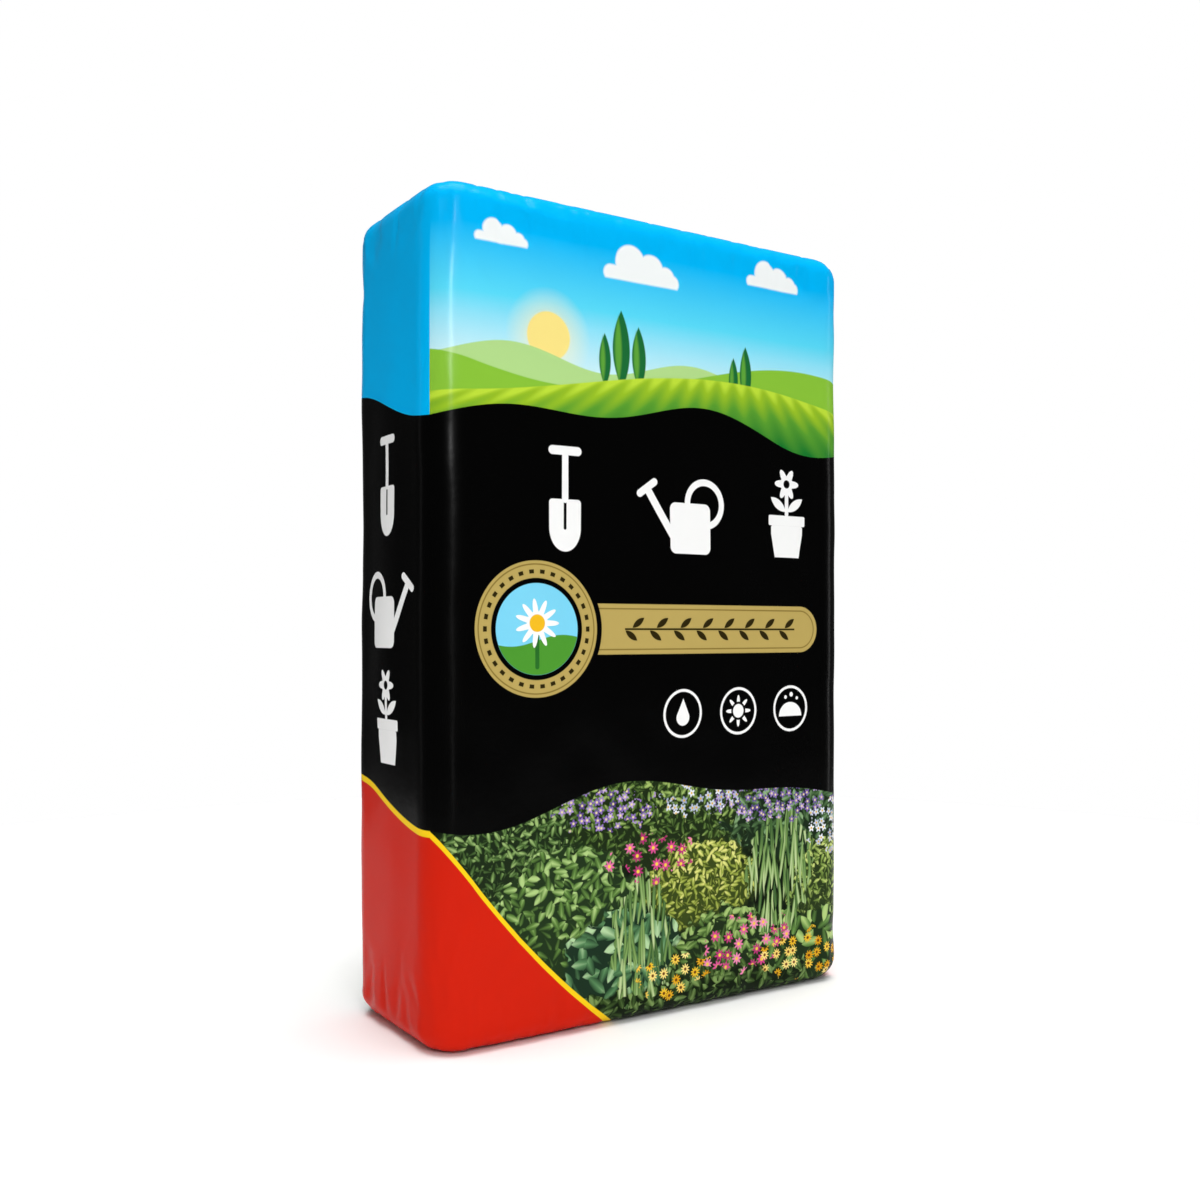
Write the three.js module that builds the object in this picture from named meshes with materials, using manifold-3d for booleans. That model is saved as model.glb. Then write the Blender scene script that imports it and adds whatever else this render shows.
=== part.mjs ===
// A filled, sealed bag of topsoil: one tube of printed polyethylene film, welded across both ends and
// squared up into a soft upright block. It stands on its flat base, with the front panel facing -Y.
// Millimetres, +Z up. The origin is the middle of the base.
import * as THREE from "three";
import { mergeVertices } from "three/addons/utils/BufferGeometryUtils.js";
import Module from "manifold-3d";

// Driving dimensions
const bagWidth = 370; // across the front panel, at the upright edges
const bagDepth = 145; // front to back, at the upright edges
const bagHeight = 585; // base to the folded top, without the seal fin
const uprightEdgeRadius = 28; // the four upright edges, seen from above
const endEdgeRadius = 18; // the rolled edges round the top and the base
const frontCrown = 5; // how far the soil pushes the front and back panels out at their middle
const sideCrown = 2.5; // the same for the two side panels
const finWidth = 30; // the film left above the top weld, folded flat towards the back
const finThickness = 1.6; // the folded layers of film
const finEndInset = 12; // the fin's ends stop this far inside the upright edges
const finEndRadius = 5; // rounded corners at the fin's free edge
const foldWidth = 3; // the creases pressed into both ends
const foldDepth = 1;
const foldStart = 9; // the diagonal creases begin this far in from the rolled edge

// Mesh fineness
const frontParts = 14; // straight parts along the front and back panels
const sideParts = 6; // straight parts along the side panels
const cornerParts = 8; // parts round an upright edge
const heightParts = 14; // parts up the panels
const edgeParts = 6; // parts round a rolled edge

const wasm = await Module();
wasm.setup();

// A three.js geometry as a manifold-3d solid.
function toSolid(geometry) {
  const bare = geometry.clone();
  bare.deleteAttribute("normal");
  bare.deleteAttribute("uv");
  const merged = mergeVertices(bare, 1e-4);
  return new wasm.Manifold(
    new wasm.Mesh({
      numProp: 3,
      vertProperties: new Float32Array(merged.attributes.position.array),
      triVerts: new Uint32Array(merged.index.array),
    }),
  );
}

// A manifold-3d solid as a three.js geometry.
function toGeometry(solid) {
  const { vertProperties, triVerts } = solid.getMesh();
  const geometry = new THREE.BufferGeometry();
  geometry.setAttribute("position", new THREE.BufferAttribute(vertProperties, 3));
  geometry.setIndex(new THREE.BufferAttribute(triVerts, 1));
  geometry.computeVertexNormals();
  return geometry;
}

// A straight side of the outline in equal parts, so that it can bulge.
function addSide(shape, from, to, parts) {
  for (let i = 1; i <= parts; i++) {
    const point = from.clone().lerp(to, i / parts);
    shape.lineTo(point.x, point.y);
  }
}

// The bag seen from above: a rectangle with rounded corners.
function bagOutline() {
  const x = bagWidth / 2;
  const y = bagDepth / 2;
  const r = uprightEdgeRadius;
  const at = (px, py) => new THREE.Vector2(px, py);
  const quarter = Math.PI / 2;
  const shape = new THREE.Shape();
  shape.moveTo(-x + r, -y);
  addSide(shape, at(-x + r, -y), at(x - r, -y), frontParts);
  shape.absarc(x - r, -y + r, r, -quarter, 0);
  addSide(shape, at(x, -y + r), at(x, y - r), sideParts);
  shape.absarc(x - r, y - r, r, 0, quarter);
  addSide(shape, at(x - r, y), at(-x + r, y), frontParts);
  shape.absarc(-x + r, y - r, r, quarter, 2 * quarter);
  addSide(shape, at(-x, y - r), at(-x, -y + r), sideParts);
  shape.absarc(-x + r, -y + r, r, 2 * quarter, 3 * quarter);
  return shape;
}

// 1 at the middle of a span and 0, with no slope, at its ends and beyond.
function swell(distance, halfSpan) {
  const share = Math.min(Math.abs(distance) / halfSpan, 1);
  return Math.cos((share * Math.PI) / 2) ** 2;
}

// The panels pushed out by the soil, while the edges stay straight.
function crownPanels(geometry) {
  const position = geometry.getAttribute("position");
  const halfFront = bagWidth / 2 - uprightEdgeRadius;
  const halfSide = bagDepth / 2 - uprightEdgeRadius;
  const halfUp = bagHeight / 2 - endEdgeRadius;
  for (let i = 0; i < position.count; i++) {
    const x = position.getX(i);
    const y = position.getY(i);
    const upShare = swell(position.getZ(i) - bagHeight / 2, halfUp);
    const outFront = frontCrown * swell(x, halfFront) * upShare;
    const outSide = sideCrown * swell(y, halfSide) * upShare;
    position.setY(i, y + (outFront * y) / (bagDepth / 2));
    position.setX(i, x + (outSide * x) / (bagWidth / 2));
  }
}

// The filled tube of film, with its rolled edges and crowned panels.
function filledTube() {
  const geometry = new THREE.ExtrudeGeometry(bagOutline(), {
    depth: bagHeight - 2 * endEdgeRadius,
    steps: heightParts,
    curveSegments: cornerParts / 2, // an arc gets two parts for each
    bevelEnabled: true,
    bevelThickness: endEdgeRadius,
    bevelSize: endEdgeRadius,
    bevelOffset: -endEdgeRadius,
    bevelSegments: edgeParts,
  });
  geometry.translate(0, 0, endEdgeRadius);
  crownPanels(geometry);
  return toSolid(geometry);
}

// The film above the top weld, folded over and lying flat on the top towards the back.
function sealFin() {
  const halfLength = bagWidth / 2 - uprightEdgeRadius - finEndInset;
  const r = finEndRadius;
  const shape = new THREE.Shape();
  shape.moveTo(-halfLength, 0);
  shape.lineTo(halfLength, 0);
  shape.lineTo(halfLength, finWidth - r);
  shape.absarc(halfLength - r, finWidth - r, r, 0, Math.PI / 2);
  shape.lineTo(-halfLength + r, finWidth);
  shape.absarc(-halfLength + r, finWidth - r, r, Math.PI / 2, Math.PI);
  shape.closePath();
  const sunk = finThickness; // reaches this far into the bag, so that the two join
  const geometry = new THREE.ExtrudeGeometry(shape, {
    depth: finThickness + sunk,
    curveSegments: edgeParts,
    bevelEnabled: false,
  });
  geometry.translate(0, 0, bagHeight - sunk);
  return toSolid(geometry);
}

// A V-shaped crease along the line between two points of an end face at height z.
function crease(from, to, z) {
  const along = to.clone().sub(from);
  const section = new THREE.Shape();
  section.moveTo(-foldWidth / 2, 0);
  section.lineTo(0, -foldDepth);
  section.lineTo(foldWidth / 2, 0);
  section.lineTo(0, foldDepth);
  section.closePath();
  const geometry = new THREE.ExtrudeGeometry(section, { depth: along.length(), bevelEnabled: false });
  geometry.rotateX(Math.PI / 2);
  geometry.rotateZ(Math.atan2(along.y, along.x) + Math.PI / 2);
  geometry.translate(from.x, from.y, z);
  return toSolid(geometry);
}

// The creases of one end: a diagonal from each corner to the middle line, where the side panel tucks in.
function endCreases(z) {
  const cornerX = bagWidth / 2 - endEdgeRadius - foldStart;
  const cornerY = bagDepth / 2 - endEdgeRadius - foldStart;
  const meetX = cornerX - cornerY;
  const creases = [];
  for (const sideX of [-1, 1]) {
    const meeting = new THREE.Vector2(sideX * meetX, 0);
    for (const sideY of [-1, 1]) {
      creases.push(crease(new THREE.Vector2(sideX * cornerX, sideY * cornerY), meeting, z));
    }
  }
  return creases;
}

// The bottom weld, pressed flush into the base: only its crease shows.
function baseWeldCrease() {
  const halfLength = bagWidth / 2 - uprightEdgeRadius - finEndInset;
  return crease(new THREE.Vector2(-halfLength, 0), new THREE.Vector2(halfLength, 0), 0);
}

// The whole sealed bag as one solid.
function sealedBag() {
  let solid = filledTube();
  for (const groove of [...endCreases(bagHeight), ...endCreases(0), baseWeldCrease()]) {
    solid = solid.subtract(groove);
  }
  return toGeometry(solid.add(sealFin()));
}

const printedFilm = new THREE.MeshStandardMaterial({ color: 0x0a0a0b, roughness: 0.32, metalness: 0 });

const bag = new THREE.Mesh(sealedBag(), printedFilm);
bag.name = "topsoil_bag";

const part = new THREE.Group();
part.add(bag);

export default part;
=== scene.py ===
"""A filled, sealed bag of topsoil in printed polyethylene film, standing in a plain studio.

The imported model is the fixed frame: metres, +Z up, the front panel facing -Y and the origin in the
middle of the base. The bag's film is modelled here with its folds, and gets its print and its gloss.
Places on the print are millimetres: u across a panel, from its middle, and v up from the base.
"""

import copy
import functools
import math

import bmesh
import bpy
from mathutils import Matrix, Vector, noise


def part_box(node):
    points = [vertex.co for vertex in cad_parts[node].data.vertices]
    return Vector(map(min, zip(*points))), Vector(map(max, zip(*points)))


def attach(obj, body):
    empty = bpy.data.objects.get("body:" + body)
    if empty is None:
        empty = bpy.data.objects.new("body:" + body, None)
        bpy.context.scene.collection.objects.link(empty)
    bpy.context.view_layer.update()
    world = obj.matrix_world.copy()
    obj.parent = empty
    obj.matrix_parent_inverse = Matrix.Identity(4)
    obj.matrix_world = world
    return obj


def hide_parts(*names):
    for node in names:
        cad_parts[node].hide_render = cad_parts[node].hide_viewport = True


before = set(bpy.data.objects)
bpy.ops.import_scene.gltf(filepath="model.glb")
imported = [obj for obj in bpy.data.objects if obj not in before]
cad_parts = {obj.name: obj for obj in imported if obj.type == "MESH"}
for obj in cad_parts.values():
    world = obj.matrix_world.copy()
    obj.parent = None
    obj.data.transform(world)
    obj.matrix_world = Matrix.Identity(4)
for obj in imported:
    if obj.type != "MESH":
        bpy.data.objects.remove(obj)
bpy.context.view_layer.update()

bl_info = {
    "name": "Topsoil Bag",
    "version": (1, 0, 0),
    "blender": (4, 5, 0),
    "location": "View3D > Sidebar > Topsoil Bag",
    "description": "Models a sealed bag of topsoil in printed film, with a plain studio round it",
    "category": "Add Mesh",
}

BAG_NODE = "topsoil_bag"
BAG_LOW, BAG_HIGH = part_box(BAG_NODE)
MM = 0.001

MATH = "ShaderNodeMath"
VECTOR = "ShaderNodeVectorMath"


def linear(hex_colour):
    """An sRGB hex colour as linear red, green and blue."""
    parts = [int(hex_colour[i : i + 2], 16) / 255 for i in (1, 3, 5)]
    return tuple(c / 12.92 if c <= 0.04045 else ((c + 0.055) / 1.055) ** 2.4 for c in parts)


def length_property(name, description, default_mm):
    """A length in the scene's units, with its default in millimetres."""
    return bpy.props.FloatProperty(
        name=name, description=description, default=default_mm * MM, unit="LENGTH", precision=4
    )


def ink_property(name, description, hex_colour):
    """An ink colour, with its default as an sRGB hex value."""
    return bpy.props.FloatVectorProperty(
        name=name, description=description, default=linear(hex_colour), size=3, subtype="COLOR", min=0, max=1
    )


class BagForm(bpy.types.PropertyGroup):
    """Sizes of the filled bag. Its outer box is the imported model's."""

    upright_radius: length_property("Upright edge", "Radius of the four upright edges", 28)
    end_radius: length_property("End edge", "Radius of the rolled edges round the top and the base", 18)
    front_crown: length_property("Front crown", "How far the soil pushes out the front and the back", 5)
    side_crown: length_property("Side crown", "How far the soil pushes out the sides", 2.5)
    fin_width: length_property("Fin width", "Film above the top weld, folded over towards the back", 30)
    fin_height: length_property("Fin height", "How far the folded fin stands above the top", 1.6)
    fin_inset: length_property("Fin inset", "From an upright edge's end to the fin's end", 12)
    fold_start: length_property("Fold start", "From the rolled edge to a diagonal fold's end", 9)
    fold_width: length_property("Fold width", "Width of the creases pressed into the ends", 3)
    fold_depth: length_property("Fold depth", "Depth of the creases pressed into the ends", 1.8)
    gather: length_property("Gather", "Depth of the short gathers where the film turns over the ends", 1.7)
    tension: length_property("Tension", "Depth of the soft creases that fan out from the corners", 2.2)
    slack: length_property("Slack", "How deep the loose film of the top sinks", 2.6)
    lump: length_property("Lump", "Height of the soft unevenness of the soil behind the film", 1.1)
    fin_lift: length_property("Fin lift", "How far the fin's free edge springs up", 5)
    cell: length_property("Cell width", "Width of the mesh's cells on the panels", 3)
    cell_height: length_property("Cell height", "Height of the mesh's cells on the panels", 5)


class PrintInks(bpy.types.PropertyGroup):
    """Inks of the print."""

    sky: ink_property("Sky", "Blue of the header and of the side panels' top", "#02bbfe")
    black: ink_property("Black", "Black of the middle field", "#040404")
    white: ink_property("White", "White of the pictograms", "#fbfbfa")
    gold: ink_property("Gold", "Gold of the band and of the round seal", "#bca55e")
    red: ink_property("Red", "Red of the sweep at the foot", "#cf220f")
    yellow: ink_property("Yellow", "Yellow of the line along the red sweep", "#fbd21c")


class StudioLook(bpy.types.PropertyGroup):
    """The camera at the photograph's angle, and the floor's colour."""

    azimuth: bpy.props.FloatProperty(
        name="Azimuth",
        description="Camera's turn round the bag",
        default=math.radians(-32.92),
        subtype="ANGLE",
    )
    distance: length_property("Distance", "Camera to the bag's upright axis", 962.94)
    aside: length_property("Aside", "Camera's step to its right", -7.64)
    height: length_property("Height", "Camera above the floor", 281.7)
    lens: bpy.props.FloatProperty(
        name="Lens", description="Focal length on a 36 mm sensor", default=36.94, subtype="DISTANCE_CAMERA"
    )
    rise: bpy.props.FloatProperty(
        name="Rise", description="Upward shift of the frame, as a share of its width", default=0.02696
    )
    floor: ink_property("Floor", "Colour of the floor", "#fcfcfb")


PRINT_WRAP = math.radians(60)  # how far round an upright edge the front's and the back's print reach
END_FACING = 0.9  # on the ends, a normal points up or down at least this far


class Film:
    """The sizes that the film's mesh is worked out from, in metres."""

    def __init__(self, form):
        self.form = form
        self.half_width = (BAG_HIGH.x - BAG_LOW.x) / 2 - form.side_crown
        self.half_depth = (BAG_HIGH.y - BAG_LOW.y) / 2 - form.front_crown
        self.height = BAG_HIGH.z - BAG_LOW.z - form.fin_height
        self.half_straight = self.height / 2 - form.end_radius
        # Where the front's and the back's print end and the side's begins, in the print's millimetres.
        self.print_half_width = (self.half_width - form.upright_radius * (1 - math.sin(PRINT_WRAP))) / MM
        self.print_half_depth = (self.half_depth - form.upright_radius * (1 - math.cos(PRINT_WRAP))) / MM


UPRIGHT_PARTS = 12  # parts of the mesh round an upright edge
END_PARTS = 8  # parts round a rolled edge


def rolled_block(film):
    """The bag as a block with rolled edges, cut fine enough to take the film's creases."""
    form = film.form
    size = Matrix.Diagonal((2 * film.half_width, 2 * film.half_depth, film.height, 1))
    mesh = bmesh.new()
    bmesh.ops.create_cube(mesh, size=1, matrix=Matrix.Translation((0, 0, film.height / 2)) @ size)
    rounding = {"offset_type": "OFFSET", "profile": 0.5, "affect": "EDGES", "material": -1}
    upright = [e for e in mesh.edges if abs(e.verts[0].co.z - e.verts[1].co.z) > film.height / 2]
    bmesh.ops.bevel(mesh, geom=upright, offset=form.upright_radius, segments=UPRIGHT_PARTS, **rounding)
    rims = [e for e in mesh.edges if abs(e.verts[0].co.z - e.verts[1].co.z) < film.height / 2]
    bmesh.ops.bevel(mesh, geom=rims, offset=form.end_radius, segments=END_PARTS, **rounding)
    spans = (film.half_width - form.upright_radius, film.half_depth - form.upright_radius, film.half_straight)
    cells = (form.cell, form.cell, form.cell_height)
    for axis, (half_span, cell) in enumerate(zip(spans, cells)):
        straight = [e for e in mesh.edges if abs(e.verts[0].co[axis] - e.verts[1].co[axis]) > half_span]
        cuts = round(2 * half_span / cell) - 1
        bmesh.ops.subdivide_edges(mesh, edges=straight, cuts=cuts, use_grid_fill=True)
    bmesh.ops.poke(mesh, faces=[f for f in mesh.faces if len(f.verts) > 4])
    return mesh


def cut_mesh(mesh, faces, across, place):
    """Cuts the faces along a plane, given by its normal and its place along that normal."""
    parts = [part for face in faces for part in (face, *face.verts, *face.edges)]
    geometry = list(dict.fromkeys(parts))  # each part once
    bmesh.ops.bisect_plane(mesh, geom=geometry, dist=1e-7, plane_co=across * place, plane_no=across)


def end_folds(film):
    """The diagonal folds of an end, as pairs of points: from near a corner to the middle line."""
    corner_x = film.half_width - film.form.end_radius - film.form.fold_start
    corner_y = film.half_depth - film.form.end_radius - film.form.fold_start
    folds = []
    for side_x in (-1, 1):
        for side_y in (-1, 1):
            corner = Vector((side_x * corner_x, side_y * corner_y, 0))
            folds.append((corner, Vector((side_x * (corner_x - corner_y), 0, 0))))
    return folds


def cut_folds(mesh, film):
    """Cuts the end faces along the folds and on both sides of them, so that a crease can be pressed in."""
    for corner, meeting in end_folds(film):
        along = (meeting - corner).normalized()
        across = Vector((-along.y, along.x, 0))
        for step in (-0.5, 0, 0.5):
            start = corner.dot(across) + step * film.form.fold_width
            faces = [
                f
                for f in mesh.faces
                if abs(f.normal.z) > END_FACING
                and f.calc_center_median().x * corner.x > 0
                and f.calc_center_median().y * corner.y > 0
                and abs(f.calc_center_median().x) > abs(meeting.x) - film.form.cell
            ]
            cut_mesh(mesh, faces, across, start)


def swell(distance, half_span):
    """1 at the middle of a span and 0, with no slope, at its ends and beyond."""
    return math.cos(min(abs(distance) / half_span, 1) * math.pi / 2) ** 2


def fade(value, start, end):
    """1 up to the start, then smoothly down to 0 at the end."""
    share = min(max((value - start) / (end - start), 0), 1)
    return 1 - share * share * (3 - 2 * share)


FOLD_VALLEY = 9 * MM  # half the width of the valley along a fold


def fold_depth(film, place):
    """How deep an end's folds are at a place: a sharp line in a soft valley."""
    deepest = 0.0
    flat = Vector((place.x, place.y, 0))
    for corner, meeting in end_folds(film):
        run = meeting - corner
        share = min(max((flat - corner).dot(run) / run.length_squared, 0), 1)
        off = (corner + share * run - flat).length
        line = max(1 - off / (film.form.fold_width / 2), 0)
        deepest = max(deepest, 0.6 * line + 0.4 * fade(off, 0, FOLD_VALLEY))
    return deepest


GATHER_GROUP = 19 * MM  # gathers of like length stand together over about this width
GATHER_PITCH = 17 * MM
SHORTEST_GATHER = 8 * MM


def gather_depth(film, place):
    """How deep the gathers are: short upright creases, each of its own length, that run over the ends."""
    form = film.form
    end_gap = min(place.z, film.height - place.z)
    inside_x = film.half_width - form.end_radius - abs(place.x)
    inside_y = film.half_depth - form.end_radius - abs(place.y)
    past = max(end_gap - form.end_radius, min(inside_x, inside_y), 0)
    chance = noise.noise(Vector((place.x, place.y, 0)) / GATHER_GROUP)
    length = (30 + 60 * chance) * MM
    if length < SHORTEST_GATHER or past > length:
        return 0
    line = noise.noise(Vector((place.x, place.y, place.z / 7)) / GATHER_PITCH)
    return max(1 - abs(line) / 0.2, 0) * fade(past, 0, length)


FRONT_REACH = 170 * MM  # how far the tension creases run from a corner, on the front and the back
SIDE_REACH = 70 * MM
TENSION_WIDTH = 22 * MM


def tension_depth(film, place, out):
    """How deep the creases are that fan out from the panels' corners."""
    across = film.half_width - abs(place.x)
    reach_limit = FRONT_REACH
    if abs(out.x) > abs(out.y):
        across = film.half_depth - abs(place.y)
        reach_limit = SIDE_REACH
    end_gap = min(place.z, film.height - place.z)
    reach = math.hypot(across, end_gap)
    if reach > reach_limit:
        return 0
    turn = math.atan2(across, end_gap)
    corner = Vector((place.x > 0, place.y > 0, place.z > film.height / 2)) * 5.3
    line = noise.noise(Vector((turn * 3.6, reach / (120 * MM), 0.5)) + corner)
    strength = 0.5 + noise.noise(Vector((turn * 2.5, 4, 4)) + corner)
    along = (1 - fade(reach, 20 * MM, 50 * MM)) * fade(reach, 55 * MM, reach_limit)
    return max(1 - abs(line) * reach / TENSION_WIDTH, 0) * along * max(strength, 0)


SLACK_MARGIN = 16 * MM  # the film is held tight this near the weld and the rolled edge
HOLLOW_SIZE = 38 * MM
SLACK_PITCH = 22 * MM


def slack_depth(film, place):
    """How deep the top's loose film sinks between weld and rolled edge: hollows, and creases across."""
    inside_x = film.half_width - film.form.end_radius - abs(place.x)
    inside_y = film.half_depth - film.form.end_radius - abs(place.y)
    off_rim = 1 - fade(min(inside_x, inside_y), 0, SLACK_MARGIN)
    off_weld = 1 - fade(abs(place.y), 2 * MM, SLACK_MARGIN)
    hollow = 0.5 + 0.5 * noise.noise(Vector((place.x, place.y, 0)) / HOLLOW_SIZE + Vector((2, 6, 9)))
    line = noise.noise(Vector((place.x / SLACK_PITCH, place.y / (70 * MM), 4.5)))
    return off_rim * off_weld * (0.6 * hollow + 0.7 * max(1 - abs(line) / 0.25, 0))


HAND_WAVE = 85 * MM  # the soil's unevenness
SMALL_WAVE = 36 * MM


def press_film(mesh, film):
    """Moves the film out where the soil pushes it, and in at its creases, gathers and folds."""
    form = film.form
    span_x = film.half_width - form.upright_radius
    span_y = film.half_depth - form.upright_radius
    mesh.normal_update()
    for vertex in mesh.verts:
        place = vertex.co.copy()
        out = vertex.normal.copy()
        upright = 1 - abs(out.z)
        upward = swell(place.z - film.height / 2, film.half_straight)
        vertex.co.y += form.front_crown * swell(place.x, span_x) * upward * place.y / film.half_depth
        vertex.co.x += form.side_crown * swell(place.y, span_y) * upward * place.x / film.half_width
        # Soil settles unevenly behind the film, in soft waves a hand wide and smaller ones on them.
        wave = noise.noise(Vector((place.x, place.y, place.z * 0.8)) / HAND_WAVE)
        wave += 0.5 * noise.noise(place / SMALL_WAVE + Vector((7, 3, 1)))
        moved = upright * form.lump * wave
        # The gathers ease where the film is drawn tight over the rolled edge.
        moved -= form.gather * (0.3 + 0.7 * upright) * gather_depth(film, place)
        moved -= upright * form.tension * tension_depth(film, place, out)
        if abs(out.z) > END_FACING:
            moved -= form.fold_depth * fold_depth(film, place)
        if out.z > END_FACING:
            moved -= form.slack * slack_depth(film, place)
        vertex.co += out * moved


FIN_PARTS = (72, 40)  # parts of its mesh along the weld and away from it
FIN_LAYER = 1.0 * MM  # thickness of the folded film
FIN_TURN = 1.2 * MM  # radius of the turn at the weld
WELD_PITCH = 3.0 * MM  # the sealing jaws leave ribs this far apart
WELD_RIB = 0.22 * MM
WELD_FROM, WELD_TO = 0.15, 0.55  # the welded part, as shares of the fin's width
FIN_WAVE = 52 * MM


def add_fin(mesh, film):
    """Adds the film above the top weld: it rises from the middle line, turns over and lies to the back."""
    form = film.form
    length = 2 * (film.half_width - form.upright_radius - form.fin_inset)
    made = bmesh.ops.create_grid(
        mesh,
        x_segments=FIN_PARTS[0],
        y_segments=FIN_PARTS[1],
        size=0.5,
        matrix=Matrix.Diagonal((length, 1, 1, 1)),
    )
    faces = list(dict.fromkeys(f for v in made["verts"] for f in v.link_faces))
    for vertex in made["verts"]:
        share = vertex.co.y + 0.5
        run = share * (form.fin_width + FIN_TURN)
        angle = min(run / FIN_TURN, math.pi / 2)
        lying = max(run - FIN_TURN * math.pi / 2, 0)
        ribs = WELD_RIB * math.sin(2 * math.pi * lying / WELD_PITCH) * (WELD_FROM < share < WELD_TO)
        spring = 0.5 + 0.8 * noise.noise(Vector((vertex.co.x / FIN_WAVE, 5, 2)))
        lift = form.fin_lift * share**2 * max(spring, 0.1)
        vertex.co.y = FIN_TURN * (1 - math.cos(angle)) + lying
        vertex.co.z = film.height - FIN_TURN + FIN_TURN * math.sin(angle) + ribs + lift + FIN_LAYER
    bmesh.ops.solidify(mesh, geom=faces, thickness=FIN_LAYER)


def add_node(tree, kind, *values, named=None, stops=(), **settings):
    """Adds a node with its settings, fills its open inputs in order or by name, and gives the node back."""
    made = tree.nodes.new(kind)
    for name, value in settings.items():
        setattr(made, name, value)
    open_inputs = [socket for socket in made.inputs if socket.enabled]
    filled = list(zip(open_inputs, values))
    filled += [(made.inputs[name], value) for name, value in (named or {}).items()]
    for socket, value in filled:
        if isinstance(value, bpy.types.Node):
            value = next(output for output in value.outputs if output.enabled)
        if isinstance(value, bpy.types.NodeSocket):
            tree.links.new(value, socket)
        elif value is not None:
            socket.default_value = value
    for i, (place, colour) in enumerate(stops):
        ramp = made.color_ramp.elements
        element = ramp[i] if i < len(ramp) else ramp.new(place)
        element.position = place
        element.color = (*linear(colour), 1)
    return made


EDGE_MM = 0.45  # how soft the edge of a printed shape is


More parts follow.
